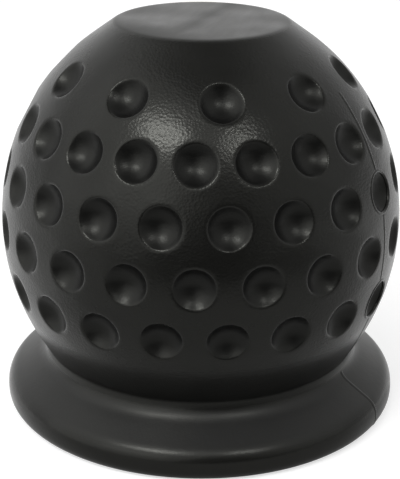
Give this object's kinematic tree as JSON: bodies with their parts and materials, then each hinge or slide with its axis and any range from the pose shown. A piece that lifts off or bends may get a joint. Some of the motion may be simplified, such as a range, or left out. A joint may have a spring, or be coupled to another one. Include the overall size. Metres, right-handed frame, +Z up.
{
  "type": "tow ball cover",
  "caption": "Dimpled round rubber cap with a flat crown and a flared skirt, hollow inside, that snaps over a towing ball to keep its grease in and dirt off.",
  "frame": {"origin": "centre of the flat ring under the skirt, where the cover stands", "axes": "+Z up along the axis of the ball towards the flat crown, -Y towards the front"},
  "size_m": [0.0664, 0.0664, 0.065],
  "materials": {
    "black_rubber": "satin moulded black rubber with a fine grain and a smoother flat crown"
  },
  "bodies": {
    "root": {"tow_ball_cover": "black_rubber"}
  },
  "joints": []
}
